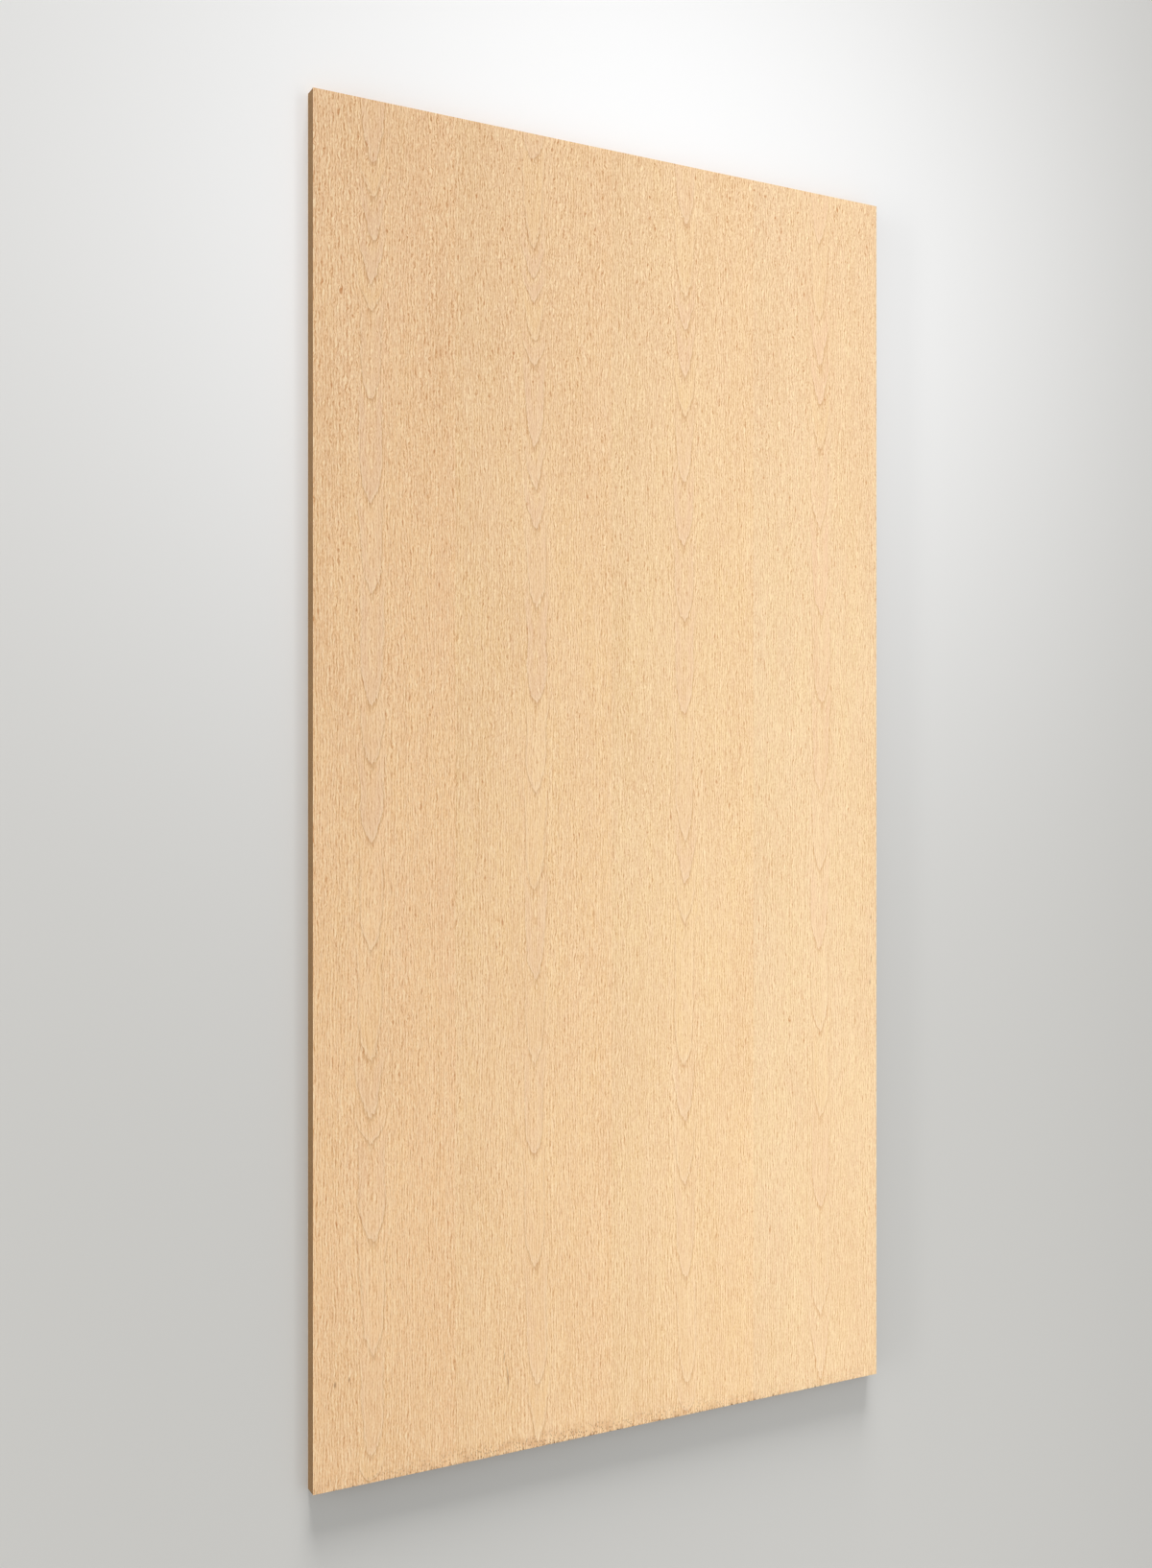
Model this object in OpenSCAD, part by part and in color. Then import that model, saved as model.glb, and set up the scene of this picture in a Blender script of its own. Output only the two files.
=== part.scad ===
// Veneered sheet: four spliced leaves of flat-cut hardwood on a fibreboard core,
// balanced by one plain rotary-cut leaf on the back.
// It lies on its back: X runs across the grain, Y along it, Z up through the board.
// The origin is the middle of the underside.

/* [Sheet] */
// Length of the trimmed sheet, along the grain of the face
sheet_l = 2440; // [1830:10:3050]
// Width of the trimmed sheet, across the grain of the face
sheet_w = 1220; // [1000:10:1300]
// Leg of the small bevel that sanding leaves round both outer faces
arris = 0.3; // [0.1:0.05:0.4]

/* [Core] */
// Thickness of the fibreboard core
core_t = 28; // [6:1:38]

/* [Face veneer] */
// Thickness of the face leaves after sanding
face_t = 0.6; // [0.5:0.1:3]
// Width of a whole leaf, from one splice to the next
leaf_w = 322.5; // [280:0.5:420]
// Width of the first leaf, which the trim saw has cut narrower than a whole one
first_leaf_w = 267; // [150:1:320]

/* [Back veneer] */
// Thickness of the balancing leaf on the back
back_t = 0.6; // [0.5:0.1:3]

/* [Hidden] */

// Leaves laid side by side across the face
leaf_count = 4;

// Heights of the two glue lines and of the finished face
back_glue_z = back_t;
face_glue_z = back_glue_z + core_t;
board_t = face_glue_z + face_t;

face_colour = "#ECC99D";
core_colour = "#8A6E4C";
back_colour = "#E2CDAA";

// Place across the sheet of the joint after leaf n: 0 is the left edge, leaf_count the right
function splice_x(n) =
    n == 0 ? -sheet_w / 2 :
    n == leaf_count ? sheet_w / 2 :
    first_leaf_w + (n - 1) * leaf_w - sheet_w / 2;

// Section through the pressed board of the given width, with its four corners bevelled
module board_section(width) {
    half = width / 2;
    polygon([
        [-half + arris, 0], [half - arris, 0],
        [half, arris], [half, board_t - arris],
        [half - arris, board_t], [-half + arris, board_t],
        [-half, board_t - arris], [-half, arris]
    ]);
}

// The whole pressed board, trimmed to size and sanded round both outer faces
module pressed_board() {
    intersection() {
        rotate([90, 0, 0])
            linear_extrude(sheet_l, center = true) board_section(sheet_w);
        rotate([90, 0, 90])
            linear_extrude(sheet_w, center = true) board_section(sheet_l);
    }
}

// The part of the pressed board from left to right and from bottom to top
module layer(left, right, bottom, top) {
    intersection() {
        pressed_board();
        translate([left, -sheet_l / 2, bottom])
            cube([right - left, sheet_l, top - bottom]);
    }
}

// Fibreboard core, plain and without grain, seen only at the four sawn edges
module core_board() {
    color(core_colour)
        layer(splice_x(0), splice_x(leaf_count), back_glue_z, face_glue_z);
}

// One leaf of the face, from its left splice to its right one
module face_leaf(n) {
    color(face_colour)
        layer(splice_x(n - 1), splice_x(n), face_glue_z, board_t);
}

// Balancing leaf, peeled in one piece as wide as the sheet, which keeps the board flat
module back_veneer() {
    color(back_colour)
        layer(splice_x(0), splice_x(leaf_count), 0, back_glue_z);
}

core_board();
face_leaf(1);  // face_leaf_1
face_leaf(2);  // face_leaf_2
face_leaf(3);  // face_leaf_3
face_leaf(4);  // face_leaf_4
back_veneer();
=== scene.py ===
# %% [markdown]
# # A veneered board, dressed for the camera
# The object is one sheet of panel stock: a brown fibreboard core, a face of four beech leaves
# spliced side by side, and one plain peeled leaf on the back that keeps the board flat.
# It lies on its back. X runs across the grain, Y runs along it, and Z is up out of the good face.
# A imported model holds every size, so this script reads sizes from it and adds only the looks.

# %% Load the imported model
import math
import random
import bpy
import numpy as np
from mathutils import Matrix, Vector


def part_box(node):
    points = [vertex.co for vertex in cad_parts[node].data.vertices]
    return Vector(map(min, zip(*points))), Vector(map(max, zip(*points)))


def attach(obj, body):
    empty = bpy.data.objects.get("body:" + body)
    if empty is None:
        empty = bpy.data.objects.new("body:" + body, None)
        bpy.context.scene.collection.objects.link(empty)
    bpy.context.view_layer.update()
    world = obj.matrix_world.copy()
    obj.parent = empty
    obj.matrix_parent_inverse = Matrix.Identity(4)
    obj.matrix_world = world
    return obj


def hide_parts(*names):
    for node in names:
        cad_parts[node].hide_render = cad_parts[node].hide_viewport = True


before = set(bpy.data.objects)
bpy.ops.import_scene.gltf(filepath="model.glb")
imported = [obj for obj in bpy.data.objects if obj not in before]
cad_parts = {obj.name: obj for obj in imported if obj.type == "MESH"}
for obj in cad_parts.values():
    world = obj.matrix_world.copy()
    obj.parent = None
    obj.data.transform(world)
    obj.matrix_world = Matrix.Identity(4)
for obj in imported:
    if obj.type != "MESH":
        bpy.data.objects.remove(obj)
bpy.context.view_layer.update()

MM = 0.001

# %% [markdown]
# ## The sizes that everything else hangs on
# The four leaves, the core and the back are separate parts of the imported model. Their boxes give
# where each splice lies and how thick each layer is, so nothing below repeats those numbers.

# %% Read the places of the layers
LEAVES = ["face_leaf_1", "face_leaf_2", "face_leaf_3", "face_leaf_4"]
leaf_boxes = {name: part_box(name) for name in LEAVES}
core_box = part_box("core_board")
back_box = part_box("back_veneer")
LEFT, FOOT = core_box[0].x, core_box[0].y
RIGHT, HEAD = core_box[1].x, core_box[1].y
FACE_Z = leaf_boxes[LEAVES[0]][1].z
print("sheet", round((RIGHT - LEFT) / MM), "x", round((HEAD - FOOT) / MM), "mm,",
      "face at", round(FACE_Z / MM, 2), "mm")

# %% [markdown]
# ## Two small helpers for colour and nodes
# Colours are written as the hex values a painter would pick on a screen. Cycles works in linear
# light, so one function turns them over. A second one adds a shader node with its settings and
# links, and hands back the socket that the next node will want.

# %% Colour and node helpers
def colour(hex_code):
    """An sRGB hex colour as the linear RGBA that Cycles works in."""
    parts = [int(hex_code[i:i + 2], 16) / 255 for i in (1, 3, 5)]
    return [p / 12.92 if p <= 0.04045 else ((p + 0.055) / 1.055) ** 2.4 for p in parts] + [1.0]


def add(tree, kind, *values, out=0, **settings):
    """Adds a node: values and sockets fill its inputs in order, settings are its properties."""
    made = tree.nodes.new("ShaderNode" + kind)
    for name, value in settings.items():
        setattr(made, name, value)
    for socket, value in zip([s for s in made.inputs if s.enabled], values):
        if isinstance(value, bpy.types.NodeSocket):
            tree.links.new(value, socket)
        elif value is not None:
            socket.default_value = value
    shown = [s for s in made.outputs if s.enabled]
    return shown[out] if isinstance(out, int) else made.outputs[out]


print("beech in linear light:", [round(c, 3) for c in colour("#ECC99D")[:3]])

# %% [markdown]
# ## The camera
# The sheet lies flat, and the camera looks down on it from beyond its left edge, turned a little
# so that the near edge shows as a thin strip. All lengths are from the sheet itself: the camera
# stands level with the middle of the length, so both ends run away from it at the same slant.

# %% Camera
BEYOND_LEFT = 0.8516
ABOVE_FACE = 2.630
PAST_MIDDLE = 0.0127
TURN = math.radians(27.42)
SENSOR_MM, LENS_MM = 36, 36.13
camera = bpy.data.objects.new("camera", bpy.data.cameras.new("camera"))
camera.location = (LEFT - BEYOND_LEFT, PAST_MIDDLE, FACE_Z + ABOVE_FACE)
camera.rotation_euler = (0, -TURN, 0)
camera.data.sensor_width = SENSOR_MM
camera.data.lens = LENS_MM
bpy.context.scene.collection.objects.link(camera)
bpy.context.scene.camera = camera
print("camera at", [round(v, 3) for v in camera.location], "lens", LENS_MM, "mm")

# %% [markdown]
# ## The floor
# A sheet of studio paper, grey by default, with a painted pool of light round the head of the board
# that fades as a bell curve does: the glow is in the paper's colour, no lamp throws it. The key lamp
# hangs to the right, so paper below it gets more light: the colour is turned down there by the same
# share, in a second bell that ends where the lamp ends, and the floor looks evenly lit. Under the
# board, where nothing can be seen from above, the paper is cut away. Whoever looks up from below
# sees the back of the board through the window, with light on it.

# %% Floor
# The pool colour, its middle and its reach make a pool of light painted on the paper.
PAPER, PAINTED_LIGHT_POOL = "#C8C7C4", "#FCFCFD"
PAINTED_POOL_MIDDLE = (0.01, 1.20)
PAINTED_POOL_REACH = (1.25, 1.11)
LIT_MOST, LIT_REACH = 0.60, 0.79
LIT_ENDS = (2.6, 5.4)
UNLIT, LIT = 1.10, 0.925
FLOOR_HALF = 60.0
WINDOW_INSET = 5 * MM


def bell(tree, squared):
    """A bell curve: 1 where the squared distance is nothing, and fading away from there."""
    negative = add(tree, "Math", squared, -1.0, operation="MULTIPLY")
    return add(tree, "Math", negative, operation="EXPONENT")


def below_key(tree, place):
    """How much of the key lamp's light the paper gets, from 1 below the lamp to 0 far from it."""
    across = add(tree, "SeparateXYZ", place)
    aside = add(tree, "Math", across, 1 / LIT_REACH, -LIT_MOST / LIT_REACH, operation="MULTIPLY_ADD")
    lit = bell(tree, add(tree, "Math", aside, aside, operation="MULTIPLY"))
    along = add(tree, "Math", across.node.outputs["Y"], operation="ABSOLUTE")
    ends = add(tree, "MapRange", along, *LIT_ENDS, 1.0, 0.0, interpolation_type="SMOOTHSTEP")
    return add(tree, "Math", lit, ends, operation="MULTIPLY")


def studio_paper():
    """Matt paper with a soft painted pool of light in it, laid out in metres on the floor."""
    material = bpy.data.materials.new("studio_paper")
    material.use_nodes = True
    tree = material.node_tree
    place = add(tree, "TexCoord", out="Object")
    moved = add(tree, "VectorMath", place, (*PAINTED_POOL_MIDDLE, 0), operation="SUBTRACT")
    scaled = add(tree, "VectorMath", moved, (*PAINTED_POOL_REACH, 1), operation="DIVIDE")
    squared = add(tree, "VectorMath", scaled, scaled, operation="DOT_PRODUCT", out="Value")
    # Mixes the painted pool of light into the paper's grey.
    tone = add(tree, "Mix", bell(tree, squared), colour(PAPER), colour(PAINTED_LIGHT_POOL), data_type="RGBA")
    evened = add(tree, "MapRange", below_key(tree, place), 0.0, 1.0, UNLIT, LIT)
    tone = add(tree, "VectorMath", tone, evened, operation="SCALE")
    shader = tree.nodes["Principled BSDF"]
    tree.links.new(tone, shader.inputs["Base Color"])
    shader.inputs["Roughness"].default_value = 0.9
    shader.inputs["Specular IOR Level"].default_value = 0.0
    return material


def paper_floor(half, inset, z):
    """A level square with a window in it, a little smaller than the board."""
    mesh = bpy.data.meshes.new("floor")
    outer = [(-half, -half), (half, -half), (half, half), (-half, half)]
    low, high = (LEFT + inset, FOOT + inset), (RIGHT - inset, HEAD - inset)
    inner = [low, (high[0], low[1]), high, (low[0], high[1])]
    sides = [(k, (k + 1) % 4, 4 + (k + 1) % 4, 4 + k) for k in range(4)]
    mesh.from_pydata([(x, y, z) for x, y in outer + inner], [], sides)
    made = bpy.data.objects.new("floor", mesh)
    bpy.context.scene.collection.objects.link(made)
    return made


floor = paper_floor(FLOOR_HALF, WINDOW_INSET, back_box[0].z)
floor.data.materials.append(studio_paper())
print("floor level with the underside at", floor.data.vertices[0].co.z, "m")

# %% [markdown]
# ## The light
# A long soft box hangs above the right side and gives the face its slow fall from right to left. It
# is longer than the sheet, so head and foot are equally bright. A second one stands low beyond the
# left edge and is tilted at the board, to light the sawn edge that faces the camera. A weak, wide
# sun behind the head lays a soft shadow along the foot. It is kept out of the reflections, where it
# would glare on the face from low angles. The world fills the shade as pale walls do: brightest
# near the horizon, and brighter from the left, so the near side throws hardly any shadow.

# %% Lights
BOX_LENGTH = 8.0
SOFT_BOXES = [  # name, place in m, tilt in degrees, width in m, power in W, spread in degrees
    ("key", (0.62, 0, 1.5), 0, 0.6, 14.4, 110),
    ("fill", (-3.4, 0, 0.9), 72, 0.4, 25, 80)]
SUN_POWER, SUN_SIZE, SUN_TILT = 4.5, 20, 78.5
WALLS = "#F4F4F2"
FROM_LEFT, FROM_RIGHT = 1.3, 0.7
HORIZON, ZENITH = 0.78, 0.455


def soft_box(name, place, tilt, width, power, spread):
    """A lamp as wide as given and longer than the sheet, facing down or tilted up towards +X."""
    lamp = bpy.data.lights.new(name, "AREA")
    lamp.shape = "RECTANGLE"
    lamp.size = width
    lamp.size_y = BOX_LENGTH
    lamp.energy = power
    lamp.spread = math.radians(spread)
    made = bpy.data.objects.new(name, lamp)
    made.location = place
    made.rotation_euler.y = -math.radians(tilt)
    made.visible_camera = False
    bpy.context.scene.collection.objects.link(made)
    return made


def low_sun():
    """A wide, weak sun from behind the head."""
    made = bpy.data.objects.new("low_sun", bpy.data.lights.new("low_sun", "SUN"))
    made.data.energy = SUN_POWER
    made.data.angle = math.radians(SUN_SIZE)
    made.rotation_euler = (-math.radians(SUN_TILT), 0, 0)
    made.visible_glossy = False
    bpy.context.scene.collection.objects.link(made)
    return made


def studio_world():
    """Pale walls all round, brighter near the horizon and from the left."""
    world = bpy.data.worlds.new("studio")
    world.use_nodes = True
    tree = world.node_tree
    background = tree.nodes["Background"]
    background.inputs["Color"].default_value = colour(WALLS)
    sideways = add(tree, "SeparateXYZ", add(tree, "TexCoord"))
    height = sideways.node.outputs["Z"]
    leftward = add(tree, "MapRange", sideways, -1.0, 1.0, FROM_LEFT, FROM_RIGHT)
    walls = add(tree, "MapRange", height, 0.05, 0.35, HORIZON, ZENITH)
    strength = add(tree, "Math", leftward, walls, operation="MULTIPLY")
    tree.links.new(strength, background.inputs["Strength"])
    return world


lamps = [soft_box(*values) for values in SOFT_BOXES] + [low_sun()]
bpy.context.scene.world = studio_world()
bpy.context.scene.view_settings.view_transform = "Standard"
print("lamps:", [lamp.name for lamp in lamps], "and a world of pale walls")

# %% [markdown]
# ## One closed slab for every layer
# Each layer is cut from a grid of points: a top, a matching underside, and a wall between them with
# a tiny bevel, the arris that sanding leaves. A bevelled box would have the same outline, but no
# points where the saw's small tear-outs go. A grid has them, so dents and notches at the foot can be
# real, and its triangles are even. It also carries its own unfolded map. The top takes nearly all
# the room there, so the grain stays sharp wherever the map is used. The bevel and the wall lie in
# the margin round it, and the underside is pressed into a band past its end.

# %% Slab builder
MARGIN, UNDER = 0.02, 0.05
BEVEL_BAND, WALL_BAND = 0.4, 0.9


def ring_of(nx, ny):
    """The grid's outer points in order, from the foot's left end round to the left side."""
    return ([(i, 0) for i in range(nx)] + [(nx - 1, j) for j in range(1, ny)]
            + [(i, ny - 1) for i in range(nx - 2, -1, -1)] + [(0, j) for j in range(ny - 2, 0, -1)])


def slab_points(x, y, low, high, bevel, sink):
    """The points of the top, then of the underside, then of the rim below the bevel."""
    left, right, foot, head = bevel
    top_x, top_y = x.copy(), y.copy()
    top_x[0] += left
    top_x[-1] -= right
    top_y[:, 0] += foot
    top_y[:, -1] -= head
    drop = np.zeros_like(x)
    drop[0], drop[-1], drop[:, 0], drop[:, -1] = left, right, foot, head
    top = np.stack([top_x, top_y, high - sink], -1).reshape(-1, 3)
    under = np.stack([x, y, np.full_like(x, low)], -1).reshape(-1, 3)
    rim = [(x[p], y[p], high - drop[p]) for p in ring_of(*x.shape)]
    return np.concatenate([top, under, rim])


def slab_map(x, y):
    """The grid laid out in the map: u and v of the top, v of the underside, and the way out of it."""
    across = (x - x.min()) / (x.max() - x.min())
    up = (y - y.min()) / (y.max() - y.min())
    u = MARGIN + (1 - 2 * MARGIN) * across
    v = MARGIN + (1 - 3 * MARGIN - UNDER) * up
    end = v.max() + MARGIN
    under_v = end + MARGIN / 2 + (1 - end - MARGIN) * up
    out_u, out_v = np.zeros_like(x), np.zeros_like(x)
    out_u[0], out_u[-1], out_v[:, 0], out_v[:, -1] = -1, 1, -1, 1
    return u, v, under_v, out_u, out_v


def closed_slab(name, x, y, low, high, bevel, sink):
    """A closed mesh over a grid of places, bevelled at its left, right, foot and head."""
    nx, ny = x.shape
    u, v, under_v, out_u, out_v = slab_map(x, y)
    faces, places = [], []
    for i in range(nx - 1):
        for j in range(ny - 1):
            square = [(i, j), (i + 1, j), (i + 1, j + 1), (i, j + 1)]
            faces.append([a * ny + b for a, b in square])
            places += [(u[p], v[p]) for p in square]
            faces.append([nx * ny + a * ny + b for a, b in reversed(square)])
            places += [(u[p], under_v[p]) for p in reversed(square)]
    ring = ring_of(nx, ny)
    for k, p in enumerate(ring):
        q = ring[(k + 1) % len(ring)]
        top = (p[0] * ny + p[1], q[0] * ny + q[1])
        under = (nx * ny + top[0], nx * ny + top[1])
        rim = (2 * nx * ny + k, 2 * nx * ny + (k + 1) % len(ring))
        for lower, upper, near, far in ((rim, top, 0.0, BEVEL_BAND),
                                        (under, rim, BEVEL_BAND, WALL_BAND)):
            faces.append([lower[0], lower[1], upper[1], upper[0]])
            for point, push in ((p, far), (q, far), (q, near), (p, near)):
                places.append((u[point] + push * MARGIN * out_u[point],
                               v[point] + push * MARGIN * out_v[point]))
    mesh = bpy.data.meshes.new(name)
    mesh.from_pydata(slab_points(x, y, low, high, bevel, sink).tolist(), [], faces)
    layer = mesh.uv_layers.new(name="OFBake")
    layer.uv.foreach_set("vector", np.array(places, np.float32).ravel())
    made = bpy.data.objects.new(name, mesh)
    bpy.context.scene.collection.objects.link(made)
    return made


print("slab builder ready, map margin", MARGIN)

# %% [markdown]
# ## The four leaves of the face
# A crosscut saw leaves small tear-outs where the fibres have nothing behind them, so the foot of
# the face is not a perfect line: there are shallow chips and tiny notches, thicker towards the
# middle and the right. They are made from a seeded list of chips, each a narrow pit that runs a few
# millimetres up the grain. Beside the splices the wood only just breaks its corner.

# %% Leaves with a sawn foot
ARRIS = 0.3 * MM
SPLICE = 0.05 * MM
COLUMN = 1.5 * MM
BODY_ROW = 0.3
BODY_INSET = 0.25
FOOT_ROWS = [0, 0.8, 1.7, 2.8, 4.2, 6, 8.5, 12, 17, 25, 40]
HEAD_ROWS = [40, 15, 5, 1.5, 0]
CHIP_EVERY = 4 * MM
CHIPPED_MOST, CHIPPED_REACH = 0.12, 0.33
CHIP_HALF, CHIP_TALL, CHIP_DEEP = (0.9, 2.2), (1.5, 9), (0.08, 0.32)
DEEPEST = 0.4 * MM
NOTCH_SHARE, NOTCH_RISE = 0.3, (0.3, 1.6)
NOTCH_ZONE = 12 * MM


def even(start, stop, step):
    """Evenly spaced places from start to stop, about a step apart."""
    return np.linspace(start, stop, round((stop - start) / step) + 1)


def sawn_foot(x, low_y, dice):
    """Chips along the foot: how far each grid point is pushed up the grain, and how deep it is."""
    sink = np.zeros_like(x)
    push = np.zeros_like(x)
    rise = low_y - FOOT
    start, stop = x.min(), x.max()
    for _ in range(round((stop - start) / CHIP_EVERY)):
        middle = dice.uniform(start, stop)
        busy = 0.25 + 0.75 * math.exp(-((middle - CHIPPED_MOST) / CHIPPED_REACH) ** 2)
        if dice.random() > busy:
            continue
        half = dice.uniform(*CHIP_HALF) * MM
        tall = dice.uniform(*CHIP_TALL) * MM
        bulge = np.clip(1 - ((x - middle) / half) ** 2, 0, 1)
        sink += dice.uniform(*CHIP_DEEP) * MM * bulge * np.clip(1 - rise / tall, 0, 1)
        if dice.random() < NOTCH_SHARE:
            fade = np.clip(1 - rise / NOTCH_ZONE, 0, 1)
            push += dice.uniform(*NOTCH_RISE) * MM * bulge * fade
    return push, np.minimum(sink, DEEPEST)


def make_leaf(name, number):
    """One leaf of the face, as a closed slab with chips at its foot."""
    low, high = leaf_boxes[name]
    columns = even(low.x, high.x, COLUMN)
    body = even(FOOT + BODY_INSET, HEAD - BODY_INSET, BODY_ROW)
    rows = np.concatenate([FOOT + np.array(FOOT_ROWS) * MM, body, HEAD - np.array(HEAD_ROWS) * MM])
    x, y = np.meshgrid(columns, rows, indexing="ij")
    push, sink = sawn_foot(x, y, random.Random(40 + number))
    bevel = [SPLICE, SPLICE, ARRIS, ARRIS]
    if low.x - LEFT < MM:
        bevel[0] = ARRIS
    if RIGHT - high.x < MM:
        bevel[1] = ARRIS
    leaf = closed_slab("beech_leaf_" + str(number), x, y + push, low.z, high.z, bevel, sink)
    torn = leaf.data.attributes.new("torn", "FLOAT", "POINT")
    depth = (sink / sink.max()).ravel()
    ring = ring_of(*x.shape)
    on_rim = [sink[p] / sink.max() for p in ring]
    torn.data.foreach_set("value", np.concatenate([depth, depth, on_rim]))
    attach(leaf, "root")
    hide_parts(name)
    return leaf


leaves = [make_leaf(name, n + 1) for n, name in enumerate(LEAVES)]
for leaf in leaves:
    print(leaf.name, round(leaf.dimensions.x / MM, 1), "mm wide,", len(leaf.data.polygons), "faces")

# %% [markdown]
# ## The core
# Fibreboard is pressed from fine wood fibre, hardest at its two faces and softer in the middle.
# After the trim saw its edges are flat to the eye, but the soft middle gives way a little more than
# the hard faces. So the wall is built from rings at several heights, drawn in by a small dish.
# In its unfolded map the four walls come first, as bands much taller than they are in truth, so
# that their fibres stay sharp. The two lids, which the veneers hide, share what is left.

# %% Core with dished edges
DISH = 0.12 * MM
DISH_FULLNESS = 0.7
WALL_ROWS = 9
WALL_STEP = 20 * MM
WALL_MAPS = [(0.02, 0.49, 0.02, 0.27), (0.02, 0.98, 0.29, 0.54), (0.51, 0.98, 0.02, 0.27),
             (0.02, 0.98, 0.56, 0.81)]
LID_MAPS = [(0.02, 0.49, 0.83, 0.98), (0.51, 0.98, 0.83, 0.98)]


def in_map(box, across, up):
    """A place in a box of the unfolded map, from shares across it and up it."""
    left, right, low, high = box
    return left + across * (right - left), low + up * (high - low)


def unfold_core(mesh, nx, ny):
    """Lays the four sawn edges out as long bands, and the two lids beside each other."""
    lengths = [nx - 1, ny - 1, nx - 1, ny - 1]
    around = [(box, k / n, (k + 1) / n) for box, n in zip(WALL_MAPS, lengths) for k in range(n)]
    places = []
    for row in range(WALL_ROWS - 1):
        low, high = row / (WALL_ROWS - 1), (row + 1) / (WALL_ROWS - 1)
        for box, start, stop in around:
            corners = [(start, low), (stop, low), (stop, high), (start, high)]
            places += [in_map(box, *corner) for corner in corners]
    ring = ring_of(nx, ny)
    for box, order in zip(LID_MAPS, (ring[::-1], ring)):
        places += [in_map(box, i / (nx - 1), j / (ny - 1)) for i, j in order]
    layer = mesh.uv_layers.new(name="OFBake")
    layer.uv.foreach_set("vector", np.array(places, np.float32).ravel())


def make_core():
    """The core as stacked rings, each a little inside the sawn outline, closed above and below."""
    low, high = core_box
    along_x, along_y = even(low.x, high.x, WALL_STEP), even(low.y, high.y, WALL_STEP)
    x, y = np.meshgrid(along_x, along_y, indexing="ij")
    ring = ring_of(*x.shape)
    count = len(ring)
    points = []
    for row in range(WALL_ROWS):
        share = row / (WALL_ROWS - 1)
        inset = DISH * math.sin(math.pi * share) ** DISH_FULLNESS
        z = low.z + share * (high.z - low.z)
        for p in ring:
            points.append((max(low.x + inset, min(high.x - inset, x[p])),
                           max(low.y + inset, min(high.y - inset, y[p])), z))
    faces = [[r * count + k, r * count + (k + 1) % count, (r + 1) * count + (k + 1) % count,
              (r + 1) * count + k] for r in range(WALL_ROWS - 1) for k in range(count)]
    faces.append(list(range(count))[::-1])
    faces.append([(WALL_ROWS - 1) * count + k for k in range(count)])
    mesh = bpy.data.meshes.new("fibreboard_core")
    mesh.from_pydata(points, [], faces)
    unfold_core(mesh, *x.shape)
    core = bpy.data.objects.new("fibreboard_core", mesh)
    bpy.context.scene.collection.objects.link(core)
    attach(core, "root")
    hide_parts("core_board")
    return core


core = make_core()
print(core.name, "with", len(core.data.polygons), "faces, dished", DISH / MM, "mm")

# %% [markdown]
# ## The back
# The balancing leaf is peeled from a turning log in one wide sheet, so it has no splices. It is a
# cheaper veneer than the face and is trimmed with it. It is the same slab turned over, so its bevel
# comes out on the underside.

# %% Back leaf
BACK_COLUMN, BACK_ROW = 10 * MM, 80 * MM


def make_back():
    """The balancing leaf: a closed slab with its bevel on the underside."""
    low, high = back_box
    columns, rows = even(low.x, high.x, BACK_COLUMN), even(low.y, high.y, BACK_ROW)
    x, y = np.meshgrid(columns, rows, indexing="ij")
    flat = np.zeros_like(x)
    back = closed_slab("peeled_back_leaf", x, y, -high.z, -low.z, [ARRIS] * 4, flat)
    for vertex in back.data.vertices:
        vertex.co.z = -vertex.co.z
    back.data.flip_normals()
    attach(back, "root")
    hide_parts("back_veneer")
    return back


back = make_back()
print(back.name, "with", len(back.data.polygons), "faces")

# %% [markdown]
# ## Where a fibre runs
# A picture of veneer could be laid on the leaves, but it would blur close by and show its edges. A
# formula stays sharp. Wood grain is a pattern of long thin things that wander, so every layer of it
# below is a noise that is squeezed across the grain and stretched along it, laid over places in
# millimetres. Before that, the places themselves are pushed sideways by two slow waves, so that
# streaks, rings and flecks all bend together, as fibres do round each other. Each wave is listed as
# its width and length and how far it swings, in mm.

# %% Grain place
LATTICE = 0.7
WAVES = [(170, 800, 7.0), (26, 85, 2.6)]


def squeezed(tree, place, width, length, seed):
    """Places counted in steps of width mm across the grain and length mm along it.

    The counted places are turned by LATTICE. A noise is woven on a square lattice, and if that stood
    square to the board, neighbouring streaks would all begin at the same heights, like bricks.
    """
    return add(tree, "Mapping", place, (seed * 7.3, seed * 3.1, 0), (0, 0, LATTICE),
               (1 / width, 1 / length, 1))


def grain_place(tree, seed):
    """The place on the board in mm, bent as the fibres wander."""
    place = add(tree, "VectorMath", add(tree, "TexCoord", out="Object"), 1 / MM, operation="SCALE")
    for width, length, swing in WAVES:
        wave = add(tree, "TexNoise", squeezed(tree, place, width, length, seed), 1.0, 1.0,
                   noise_dimensions="2D")
        push = add(tree, "MapRange", wave, 0.2, 0.8, -swing, swing)
        place = add(tree, "VectorMath", place, add(tree, "CombineXYZ", push), operation="ADD")
    return place


def streaks(tree, place, width, length, seed, detail=2.0, low=0.3, high=0.7):
    """Streaks of the given width and length in mm, as a mask from 0 to 1."""
    noise = add(tree, "TexNoise", squeezed(tree, place, width, length, seed), 1.0, detail,
                noise_dimensions="2D")
    return add(tree, "MapRange", noise, low, high)


def glazed(tree, tone, layers):
    """Lays thin colours over a tone, each given as a hex colour, a mask and how strong it is."""
    for hex_code, mask, amount in layers:
        share = add(tree, "Math", mask, amount, operation="MULTIPLY", use_clamp=True)
        tone = add(tree, "Mix", share, tone, colour(hex_code), data_type="RGBA")
    return tone


print("grain wanders in waves of", [wave[:2] for wave in WAVES], "mm")

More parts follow.
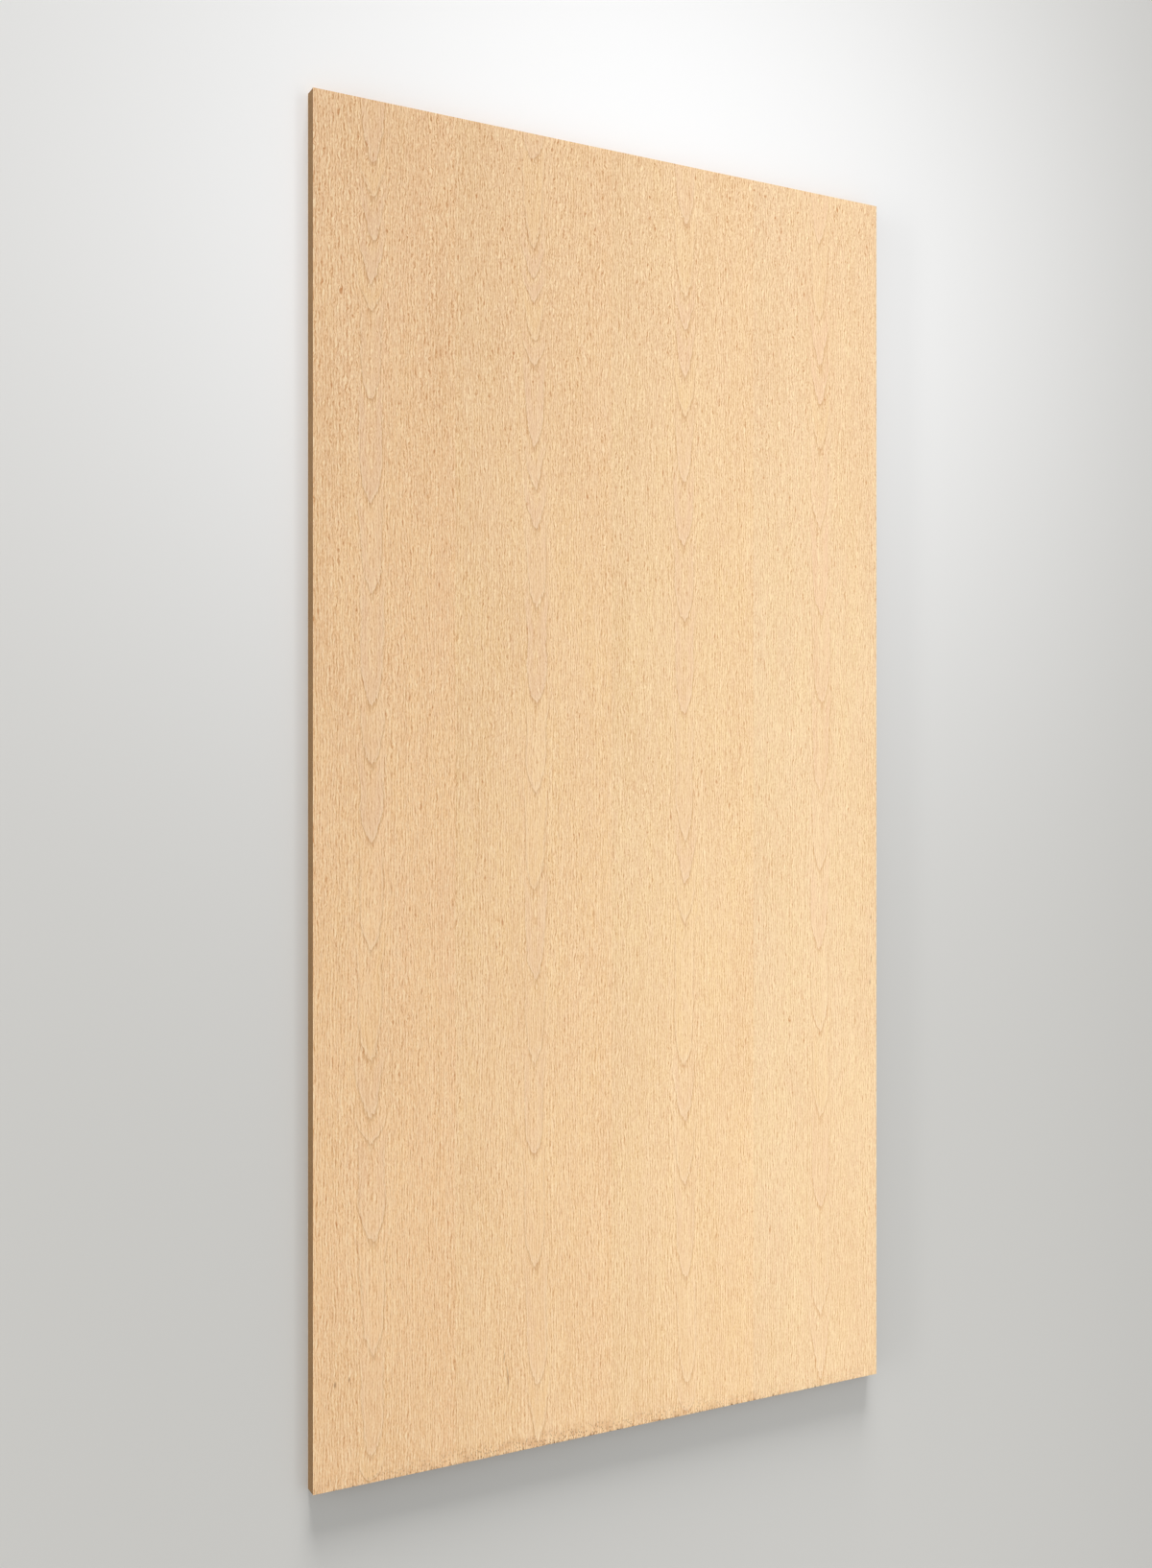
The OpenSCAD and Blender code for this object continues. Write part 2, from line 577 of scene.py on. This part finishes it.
# %% [markdown]
# ## Growth rings on a flat cut
# A flat-cut leaf misses the pith by some ten centimetres. Where it comes nearest, each ring is
# sliced as a long tongue that ends in a V, and further out the rings run down the leaf as close
# lines. One formula gives both: count the rings by the distance to the pith, which is the long side
# of a right triangle, and let the count also rise down the leaf because the trunk tapers. A little
# more of the plain distance aside (POINTED) turns the round ends of the tongues into points.
# The trunk is not a perfect cone: it narrows in small steps, so the tongues end at uneven places.
# Those are listed for each leaf, in mm from the head. Over the last V_TALL mm above a tip the count
# climbs by V_COUNT of a ring, which draws the V, and below the tip it rests for FLAT mm. A quick
# small noise, RAGGED rings high, makes the outlines uneven.

# %% Growth rings
RING_WIDTH = 3.0
PITH_DEPTH = 125.0
POINTED = 0.009
V_TALL, V_ROOM, V_COUNT = 78.0, 0.75, 0.75
FLAT, FLAT_ROOM, FLAT_COUNT = 12.0, 0.2, 0.1
RAGGED = 0.24
LENGTH = (HEAD - FOOT) / MM
LEAF_WIDTH = (leaf_boxes[LEAVES[1]][1].x - leaf_boxes[LEAVES[1]][0].x) / MM
HEART_FROM_SPLICE = 161.5
TIPS_FROM_HEAD = [
    [116, 177, 254, 327, 385, 545, 727, 887, 1080, 1190, 1330, 1516, 1702, 1800, 1858, 2033, 2230,
     2400],
    [60, 214, 272, 311, 385, 443, 587, 665, 751, 895, 1074, 1240, 1420, 1586, 1740, 1913, 2120,
     2330],
    [130, 260, 327, 420, 506, 634, 760, 907, 1090, 1321, 1406, 1500, 1765, 1880, 2006, 2190, 2380],
    [120, 264, 360, 440, 545, 700, 879, 1060, 1240, 1400, 1562, 1730, 1905, 2090, 2300],
]


def rings_down(tree, along, tips):
    """How many rings the taper has passed, going down the leaf: it climbs to each tip, then rests."""
    fallen = add(tree, "MapRange", along, HEAD / MM, FOOT / MM)
    curve = add(tree, "FloatCurve", 1.0, fallen)
    points = curve.node.mapping.curves[0].points
    points[0].location, points[1].location = (0, 0), (1, 1)
    ends = [0] + tips + [LENGTH]
    total = len(tips) + 1
    for count, (before, tip, after) in enumerate(zip(ends, tips, ends[2:]), 1):
        above = tip - min(V_TALL, V_ROOM * (tip - before))
        below = tip + min(FLAT, FLAT_ROOM * (after - tip))
        points.new(above / LENGTH, (count - V_COUNT) / total)
        points.new(below / LENGTH, (count + FLAT_COUNT) / total)
    for point in points:
        point.handle_type = "AUTO_CLAMPED"
    return add(tree, "Math", curve, float(total), operation="MULTIPLY")


def growth_rings(tree, place, number):
    """Distances from the leaf's heart line and the pith, the share of a ring passed, and its year."""
    heart = leaf_boxes[LEAVES[1]][0].x / MM + HEART_FROM_SPLICE + (number - 2) * LEAF_WIDTH
    across = add(tree, "SeparateXYZ", place)
    off = add(tree, "Math", across, heart, operation="SUBTRACT")
    reach = add(tree, "VectorMath", add(tree, "CombineXYZ", off, PITH_DEPTH), operation="LENGTH")
    rings = add(tree, "Math", reach, 1 / RING_WIDTH, -PITH_DEPTH / RING_WIDTH,
                operation="MULTIPLY_ADD")
    aside = add(tree, "Math", off, operation="ABSOLUTE")
    rings = add(tree, "Math", aside, POINTED, rings, operation="MULTIPLY_ADD")
    downward = rings_down(tree, across.node.outputs["Y"], TIPS_FROM_HEAD[number - 1])
    rings = add(tree, "Math", rings, downward, operation="ADD")
    ragged = add(tree, "TexNoise", squeezed(tree, place, 8, 20, number + 30), 1.0, 2.0,
                 noise_dimensions="2D")
    rings = add(tree, "Math", ragged, RAGGED, rings, operation="MULTIPLY_ADD")
    ring = add(tree, "Math", rings, operation="FRACT")
    return off, reach, ring, add(tree, "Math", rings, operation="FLOOR")


print("rings", RING_WIDTH, "mm wide, cut", PITH_DEPTH, "mm from the pith; tips per leaf",
      [len(tips) for tips in TIPS_FROM_HEAD])

# %% [markdown]
# ## Hairs and bands
# What the eye reads as beech is a fine, lively texture. Fibres lie as pale and dark hairs. Near the
# head they swerve round the wood rays, which gives the leaf a pebbled look, and towards the foot
# they run straighter. Broad, faint bands of denser wood lie under them. A real hair is a tenth of a
# millimetre wide, finer than a camera over two metres away can see, so the finest here are drawn
# as coarse as they need to be to show, 0.85 mm. Each layer is one noise with four numbers: its
# width and length in mm, and how much it counts where the leaf is pebbled and where it is straight.

# %% Hairs and bands
HAIRS = [(0.85, 5, 0.35, 0.25), (0.85, 26, 0.35, 0.32), (1.0, 75, 0.07, 0.10)]
LINES = [(2.0, 260, 0.03, 0.05)]
BANDS = [(6.0, 240, 0.24, 0.24), (11.0, 420, 0.4, 0.4)]
SWING_PEBBLED, SWING_STRAIGHT = 7.0, 2.8


def swerved(tree, place, width, length, swing, seed):
    """Places pushed sideways by a small quick noise, so that hairs swerve round the rays."""
    wave = add(tree, "TexNoise", squeezed(tree, place, width, length, seed), 1.0, 1.0,
               noise_dimensions="2D")
    centred = add(tree, "Math", wave, 0.5, operation="SUBTRACT")
    push = add(tree, "Math", centred, swing, operation="MULTIPLY")
    return add(tree, "VectorMath", place, add(tree, "CombineXYZ", push), operation="ADD")


def straightness(tree, place, along, number):
    """How straight the hairs run, from 0 where they are pebbled to 1: in patches, and more below."""
    patches = add(tree, "TexNoise", squeezed(tree, place, 120, 300, number + 60), 1.0, 1.0,
                  noise_dimensions="2D")
    fallen = add(tree, "MapRange", along, HEAD / MM, FOOT / MM, -0.5, 0.5)
    return add(tree, "Math", patches, 1.2, fallen, operation="MULTIPLY_ADD", use_clamp=True)


def fibres(tree, place, straight, seed, layers, total=0.0):
    """How dense the fibres lie, about 0: layers of one width and length over each other."""
    for width, length, when_pebbled, when_straight in layers:
        noise = add(tree, "TexNoise", squeezed(tree, place, width, length, seed + length), 1.0, 1.0,
                    noise_dimensions="2D")
        share = add(tree, "MapRange", straight, 0.0, 1.0, when_pebbled, when_straight)
        centred = add(tree, "Math", noise, 0.5, operation="SUBTRACT")
        total = add(tree, "Math", centred, share, total, operation="MULTIPLY_ADD")
    return total


print("hairs", [hair[0] for hair in HAIRS], "and bands", [band[0] for band in BANDS], "mm wide")

# %% [markdown]
# ## Even lines and ray flecks
# The texture is not quite random: faint lines run through it about 5 mm apart, drift a little, and
# come and go. Without them hairs look like noise, and with them like wood. The lines are one sine
# across the grain. Wood rays, cut across, show as short brown spindles that all run with the grain.
# They are the mark of beech, but on this pale leaf they are shy.

# %% Even lines and ray flecks
EVEN_PITCH, EVEN_SHARE = 5.2, 0.13
RAY_WIDTH, RAY_LENGTH, RAY_SHARE = 3.0, 12, 0.3


def even_lines(tree, place, seed, total):
    """Fine lines at an even distance that drift a little and show more in some stretches."""
    drift = add(tree, "TexNoise", squeezed(tree, place, 40, 400, seed), 1.0, 1.0,
                noise_dimensions="2D")
    across = add(tree, "Math", add(tree, "SeparateXYZ", place), 1 / EVEN_PITCH, drift,
                 operation="MULTIPLY_ADD")
    turned = add(tree, "Math", across, math.tau, operation="MULTIPLY")
    wave = add(tree, "Math", turned, operation="SINE")
    stretch = add(tree, "TexNoise", squeezed(tree, place, 6, 12, seed + 1), 1.0, 1.0,
                  noise_dimensions="2D")
    share = add(tree, "MapRange", stretch, 0.35, 0.75, 0.0, EVEN_SHARE)
    return add(tree, "Math", wave, share, total, operation="MULTIPLY_ADD")


def ray_flecks(tree, place, width, length, share, seed):
    """Short spindles along the grain, in a share of the cells of a squeezed pattern."""
    cells = add(tree, "TexVoronoi", squeezed(tree, place, width, length, seed), 1.0,
                voronoi_dimensions="2D")
    chance = add(tree, "SeparateXYZ", cells.node.outputs["Color"])
    chosen = add(tree, "MapRange", chance, share - 0.1, share + 0.1, 1.0, 0.0)
    spindle = add(tree, "MapRange", cells, 0.12, 0.42, 1.0, 0.0, interpolation_type="SMOOTHSTEP")
    return add(tree, "Math", spindle, chosen, operation="MULTIPLY")


def hair_masks(tree, place, straight, strength, number):
    """Where dark and pale hairs lie, where ray flecks lie, and the places that swerve with them."""
    swing = add(tree, "MapRange", straight, 0.0, 1.0, SWING_PEBBLED, SWING_STRAIGHT)
    swerving = swerved(tree, place, 7, 18, swing, number + 10)
    density = fibres(tree, place, straight, number, LINES)
    density = fibres(tree, swerving, straight, number, HAIRS, density)
    density = even_lines(tree, swerving, number + 90, density)
    masks = [add(tree, "MapRange", density, 0.0, 0.18),
             add(tree, "MapRange", density, 0.0, -0.14),
             ray_flecks(tree, swerving, RAY_WIDTH, RAY_LENGTH, RAY_SHARE, number + 20)]
    dark, pale, rays = [add(tree, "Math", mask, strength, operation="MULTIPLY") for mask in masks]
    return dark, pale, rays, swerving


print("even lines", EVEN_PITCH, "mm apart, rays", RAY_WIDTH, "x", RAY_LENGTH, "mm")

# %% [markdown]
# ## What the tree and the saw left
# A living tree draws up minerals with its water, and here and there they stain a thin dark streak.
# There are a few, each in its own place. At the foot the saw bruised the wood. The torn chips are
# dents in the mesh, and their depth, which the leaf carries as "torn", colours them brown. Specks
# and bruises are too shallow for that, so they are colour alone. They lie in the last few
# centimetres and are worst a little left of the middle.

# %% Mineral marks and foot wear
MARKS = [  # leaf, place across, place from the foot, half the width, half the length, in mm
    (1, -569, 184, 2.5, 7), (1, -546, 189, 2.0, 6), (2, -240, 139, 1.7, 30),
    (2, -244, 178, 1.4, 12), (4, 600, 955, 2.2, 5), (4, 601, 870, 1.8, 12), (4, 598, 820, 2.0, 8)]
MARK, BRUISE, SPECK, TORN = "#8A5A34", "#C08A5C", "#7A4E2C", "#8A6440"
WORST = -120.0


def mineral_marks(tree, place, number):
    """The dark streaks of one leaf, each an oval that fades from its middle."""
    total = 0.0
    for leaf, x, from_foot, half_width, half_length in MARKS:
        if leaf == number:
            off = add(tree, "VectorMath", place, (x, FOOT / MM + from_foot, 0), operation="SUBTRACT")
            off = add(tree, "VectorMath", off, (half_width, half_length, 1e6), operation="DIVIDE")
            far = add(tree, "VectorMath", off, operation="LENGTH", out="Value")
            total = add(tree, "Math", total, add(tree, "MapRange", far, 0.3, 1.0, 1.0, 0.0),
                        operation="MAXIMUM")
    return total


def foot_wear(tree, place):
    """Where the saw bruised the wood: bruises, specks, and the chips' own depth."""
    across = add(tree, "SeparateXYZ", place)
    near = add(tree, "MapRange", across.node.outputs["Y"], FOOT / MM + 6, FOOT / MM + 36, 1.0, 0.0,
               interpolation_type="SMOOTHSTEP")
    aside = add(tree, "Math", across, WORST, operation="SUBTRACT")
    aside = add(tree, "Math", aside, operation="ABSOLUTE")
    near = add(tree, "Math", near, add(tree, "MapRange", aside, 90.0, 500.0, 1.0, 0.3),
               operation="MULTIPLY")
    masks = [streaks(tree, place, 26, 18, 8, 2.0, 0.45, 0.65),
             ray_flecks(tree, place, 3.4, 6.0, 0.42, 5)]
    bruise, specks = [add(tree, "Math", mask, near, operation="MULTIPLY") for mask in masks]
    return bruise, specks, add(tree, "Attribute", attribute_name="torn", out="Fac")


def blemished(tree, tone, place, number):
    """The tone with the saw's and the tree's marks on it."""
    bruise, specks, torn = foot_wear(tree, place)
    tone = glazed(tree, tone, [(BRUISE, bruise, 0.38), (SPECK, specks, 0.75), (TORN, torn, 0.9)])
    if number in [mark[0] for mark in MARKS]:
        tone = glazed(tree, tone, [(MARK, mineral_marks(tree, place, number), 0.6)])
    return tone


print(len(MARKS), "mineral marks, foot worst at", WORST, "mm")

# %% [markdown]
# ## The tones of the rings
# Each ring ends in a thin, dense, darker line. Just behind the line the wood is a shade deeper,
# and the last of the ring before it is a pale rim. Inside the tongues, where the knife runs almost
# level with the rings, each year covers a wide patch, and some years are pinker or more straw
# than others. The lines are broken up by the hairs that cross them. They are boldest near the
# heart and towards the head, and bolder on the leaves that show their fibres more.

# %% Ring tones and outlines
GREY_PINK, STRAW, SHADE, RIM = "#EDC6A1", "#F1CA8E", "#DDB27E", "#F7DFC0"
RING_LINE = 3.2
TIP_SHARE = 0.14


def year_tones(tree, tone, ring, year, heart, inside, along):
    """The tone with each year's own shift in it, and with shade and rim beside its line."""
    luck = add(tree, "TexWhiteNoise", year, noise_dimensions="1D")
    pinkish = add(tree, "Math", add(tree, "MapRange", luck, 0.3, 0.7), inside, operation="MULTIPLY")
    upward = add(tree, "MapRange", along, FOOT / MM, HEAD / MM - 900, 0.3, 1.0)
    pinkish = add(tree, "Math", pinkish, upward, operation="MULTIPLY")
    strawish = add(tree, "Math", add(tree, "MapRange", luck, 0.4, 0.0), inside,
                   operation="MULTIPLY")
    after_line = add(tree, "Math", add(tree, "MapRange", ring, 0.0, 0.22, 1.0, 0.0), heart,
                     operation="MULTIPLY")
    before_line = add(tree, "Math", add(tree, "MapRange", ring, 0.78, 0.98), heart,
                      operation="MULTIPLY")
    return glazed(tree, tone, [(GREY_PINK, pinkish, 0.75), (STRAW, strawish, 0.25),
                               (SHADE, after_line, 0.75), (RIM, before_line, 0.34)])


def ring_outline(tree, off, reach, ring, along, swerving, number, lively):
    """The dark start of each ring, as a line about as wide on a tongue's arms as at its flanks."""
    aside = add(tree, "Math", off, operation="ABSOLUTE")
    slope = add(tree, "Math", aside, reach, operation="DIVIDE")
    width = add(tree, "Math", slope, RING_LINE / RING_WIDTH, TIP_SHARE, operation="MULTIPLY_ADD")
    line = add(tree, "MapRange", ring, 0.0, width, 1.0, 0.0, interpolation_type="SMOOTHSTEP")
    bold = (lively - 0.4) / 0.7
    near_heart = add(tree, "MapRange", aside, 11.0, 30.0, 0.42, 0.15)
    near_head = add(tree, "MapRange", along, FOOT / MM, HEAD / MM - 500, 0.6 * bold, bold)
    gaps = streaks(tree, swerving, 2.2, 14, number + 35, 1.0, 0.25, 0.6)
    for share in (near_heart, near_head, gaps):
        line = add(tree, "Math", line, share, operation="MULTIPLY")
    return line


print("ring lines", RING_LINE, "mm wide on the flat")

# %% [markdown]
# ## Steamed beech, sliced flat
# Beech is pale, and steaming turns it a warm straw pink. Clouds of straw and pink run through it,
# greyer towards the head and deeper at the foot, and leaves of one flitch still differ a little in
# tone and in how lively their fibres look. Below the middle, the left leaves also carry painted
# light, a pale amber lift that brightens their lower half. The leaf is sanded and bare, so it is
# matt: its roughness is over a half, a little more in the dark hairs, whose open fibres also lie a
# touch lower. Its refractive index is 1.5, as for most wood.

# %% Ground tone
YELLOW, PINK, PAINTED_LIGHT_AMBER = "#F8D39E", "#F5CEA1", "#FFD3A0"


def ground_tone(tree, place, along, number, base, lively):
    """The leaf's tone before its figure, with clouds, slow changes and painted light lower down."""
    tone = add(tree, "Mix", streaks(tree, place, 50, 200, number + 50, 1.0), colour(YELLOW),
               colour(PINK), data_type="RGBA")
    clouds = streaks(tree, place, 120, 420, number + 80, 1.0, 0.5, 0.75)
    flames = streaks(tree, place, 9, 30, number + 55, 1.0, 0.5, 0.7)
    to_head = add(tree, "MapRange", along, HEAD / MM - 900, HEAD / MM - 300)
    # Below the middle, the pale amber glaze is painted light: it brightens the lower half, most on
    # the left leaves.
    painted_light_below_middle = add(tree, "MapRange", along, 100.0, -700.0)
    at_foot = add(tree, "MapRange", along, FOOT / MM + 450, FOOT / MM + 100)
    return glazed(tree, tone, [(base, 1.0, 0.5), (SHADE, clouds, 0.2), (GREY_PINK, to_head, 0.25),
                               (GREY_PINK, flames, 0.3),
                               (PAINTED_LIGHT_AMBER, painted_light_below_middle, (lively - 0.9) * 1.3),
                               (SHADE, at_foot, 0.12)])


print("ground of", YELLOW, "and", PINK)

# %% [markdown]
# ## One leaf, glaze over glaze
# The finish is built up as a painter glazes: the ground first, then the years, the bands, the hairs
# and rays, the ring lines, and last the marks. Two measures steer the rest. The heart is the strip
# where the tongues lie, and inside is the part of it above each tip: there the knife ran nearly
# level with the rings, and the hairs are quieter than at the flanks.

# %% Beech face leaf
FIBRE, CREAM, RAY, RING = "#CB8F5B", "#FFE3BA", "#BC8A5E", "#B87C4E"
HEART_HALF = (17.0, 29.0)
QUIET_INSIDE = 0.62
LIVELIER_HEAD = 1.16


def sanded(material, tone, relief, dark):
    """Gives the material its tone and its matt, slightly furrowed surface."""
    tree = material.node_tree
    shader = tree.nodes["Principled BSDF"]
    bump = add(tree, "Bump", 0.1, 0.05 * MM, None, relief, invert=True)
    rough = add(tree, "MapRange", dark, 0.0, 1.0, 0.52, 0.66)
    tree.links.new(tone, shader.inputs["Base Color"])
    tree.links.new(bump, shader.inputs["Normal"])
    tree.links.new(rough, shader.inputs["Roughness"])
    shader.inputs["IOR"].default_value = 1.5


def beech_leaf(number, base, lively):
    """Sanded flat-cut beech for one leaf: its tone, and how strongly its fibres show."""
    material = bpy.data.materials.new("flat_cut_beech_" + str(number))
    material.use_nodes = True
    tree = material.node_tree
    place = grain_place(tree, number)
    along = add(tree, "SeparateXYZ", place, out="Y")
    off, reach, ring, year = growth_rings(tree, place, number)
    aside = add(tree, "Math", off, operation="ABSOLUTE")
    heart = add(tree, "MapRange", aside, *HEART_HALF, 1.0, 0.0, interpolation_type="SMOOTHSTEP")
    above_tip = add(tree, "MapRange", ring, 0.2, 0.6, 0.15, 1.0)
    inside = add(tree, "Math", heart, above_tip, operation="MULTIPLY")
    flank = add(tree, "MapRange", inside, 0.0, 1.0, 1.0, QUIET_INSIDE)
    strength = add(tree, "MapRange", along, HEAD / MM - 900, HEAD / MM, lively,
                   lively * LIVELIER_HEAD)
    strength = add(tree, "Math", flank, strength, operation="MULTIPLY")
    straight = straightness(tree, place, along, number)
    dark, pale, rays, swerving = hair_masks(tree, place, straight, strength, number)
    pebbles = streaks(tree, place, 13, 12, number + 70, 1.0, 0.5, 0.75)
    pale_pebbles = streaks(tree, place, 12, 14, number + 75, 1.0, 0.5, 0.75)
    bands = add(tree, "Math", fibres(tree, place, straight, number + 5, BANDS), lively,
                operation="MULTIPLY")
    dense, open_grained = [add(tree, "MapRange", bands, 0.0, end) for end in (0.25, -0.25)]
    outline = ring_outline(tree, off, reach, ring, along, swerving, number, lively)

    tone = ground_tone(tree, place, along, number, base, lively)
    tone = year_tones(tree, tone, ring, year, heart, inside, along)
    tone = glazed(tree, tone, [(FIBRE, pebbles, 0.02), (CREAM, pale_pebbles, 0.04),
                               (SHADE, dense, 0.34), (CREAM, open_grained, 0.4),
                               (FIBRE, dark, 0.95), (CREAM, pale, 0.95), (RAY, rays, 0.08),
                               (RING, outline, 1.0)])
    tone = blemished(tree, tone, place, number)
    sanded(material, tone, add(tree, "Math", dark, rays, operation="ADD"), dark)
    return material


LEAF_TONES = ["#F8CB99", "#F3CF9C", "#EED3A2", "#E7D4AC"]
LIVELY = [1.09, 1.06, 1.01, 0.95]
for number, (leaf, tone, lively) in enumerate(zip(leaves, LEAF_TONES, LIVELY), 1):
    leaf.data.materials.append(beech_leaf(number, tone, lively))
print("four leaves of one flitch, tones", LEAF_TONES)

# %% [markdown]
# ## Fibreboard, sawn
# Fibreboard is wood ground to fibre and pressed with resin, an even brown with no grain. Its fibres
# lie flat, so a sawn edge shows them as short level hairs, about 4 mm long and 0.6 mm high, over
# faint clouds. The hard faces press a touch warmer than the middle. The cut is open and dusty, so
# it is rougher than the face.

# %% Fibreboard core
BOARD, BOARD_DARK, SKIN = "#84643C", "#7A5B35", "#85633D"
HAIR_DARK, HAIR_PALE = "#785836", "#BC9D73"
HAIRS_PER_MM = (0.28, 0.28, 1.6)
CLOUDS_PER_MM = (0.02, 0.02, 0.06)


def sawn_fibreboard():
    """The sawn edge of the core."""
    material = bpy.data.materials.new("sawn_fibreboard")
    material.use_nodes = True
    tree = material.node_tree
    place = add(tree, "VectorMath", add(tree, "TexCoord", out="Object"), 1 / MM, operation="SCALE")
    up = add(tree, "SeparateXYZ", place, out="Z")
    hairs = add(tree, "TexNoise", add(tree, "Mapping", place, None, None, HAIRS_PER_MM), 1.0, 3.0)
    clouds = add(tree, "TexNoise", add(tree, "Mapping", place, None, None, CLOUDS_PER_MM), 1.0, 2.0)
    middle = (core_box[0].z + core_box[1].z) / 2 / MM
    half = (core_box[1].z - core_box[0].z) / 2 / MM
    from_middle = add(tree, "Math", up, middle, operation="SUBTRACT")
    from_middle = add(tree, "Math", from_middle, operation="ABSOLUTE")
    skin = add(tree, "MapRange", from_middle, half * 0.55, half, 0.0, 1.0,
               interpolation_type="SMOOTHSTEP")
    tone = add(tree, "Mix", add(tree, "MapRange", clouds, 0.3, 0.7), colour(BOARD),
               colour(BOARD_DARK), data_type="RGBA")
    tone = glazed(tree, tone, [(SKIN, skin, 0.35),
                               (HAIR_DARK, add(tree, "MapRange", hairs, 0.45, 0.75), 0.5),
                               (HAIR_PALE, add(tree, "MapRange", hairs, 0.5, 0.25), 0.4)])
    shader = tree.nodes["Principled BSDF"]
    tree.links.new(tone, shader.inputs["Base Color"])
    tree.links.new(add(tree, "Bump", 0.4, 0.15 * MM, None, hairs), shader.inputs["Normal"])
    shader.inputs["Roughness"].default_value = 0.85
    shader.inputs["IOR"].default_value = 1.5
    return material


core.data.materials.append(sawn_fibreboard())
print("core finished as sawn fibreboard, hairs", [round(1 / s, 1) for s in HAIRS_PER_MM], "mm")

# %% [markdown]
# ## The peeled back
# A peeling lathe follows the rings, so a peeled leaf never crosses them cleanly: it shows broad
# lazy contours, like those on a map. They are drawn as the level lines of a slow noise. The back is
# backer grade, paler and duller than the face, with the same short flecks.

# %% Peeled back leaf
PEELED, PEELED_DARK = "#E6CDA6", "#DDBE95"
CONTOUR, FINE, BACK_RAY = "#C39D70", "#BF9B71", "#A8814F"
CONTOURS = 16.0


def peeled_beech():
    """Rotary-cut balancing veneer."""
    material = bpy.data.materials.new("peeled_beech")
    material.use_nodes = True
    tree = material.node_tree
    place = grain_place(tree, 9)
    hills = add(tree, "TexNoise", squeezed(tree, place, 260, 1300, 11), 1.0, 1.0, 0.45,
                noise_dimensions="2D")
    level = add(tree, "Math", hills, CONTOURS, operation="MULTIPLY")
    level = add(tree, "Math", level, operation="FRACT")
    contour = add(tree, "MapRange", level, 0.0, 0.35, 1.0, 0.0, interpolation_type="SMOOTHSTEP")
    fine = streaks(tree, place, 1.7, 10, 13, 2.0, 0.35, 0.65)
    rays = ray_flecks(tree, place, 3.4, 11, 0.4, 14)
    tone = add(tree, "Mix", streaks(tree, place, 110, 420, 12, 1.0), colour(PEELED),
               colour(PEELED_DARK), data_type="RGBA")
    tone = glazed(tree, tone, [(CONTOUR, contour, 0.4), (FINE, fine, 0.4), (BACK_RAY, rays, 0.3)])
    shader = tree.nodes["Principled BSDF"]
    furrows = add(tree, "Bump", 0.4, 0.06 * MM, None, fine, invert=True)
    tree.links.new(tone, shader.inputs["Base Color"])
    tree.links.new(furrows, shader.inputs["Normal"])
    shader.inputs["Roughness"].default_value = 0.68
    shader.inputs["IOR"].default_value = 1.5
    return material


back.data.materials.append(peeled_beech())
print("back finished as peeled beech,", round(CONTOURS), "contours over the noise's full height")
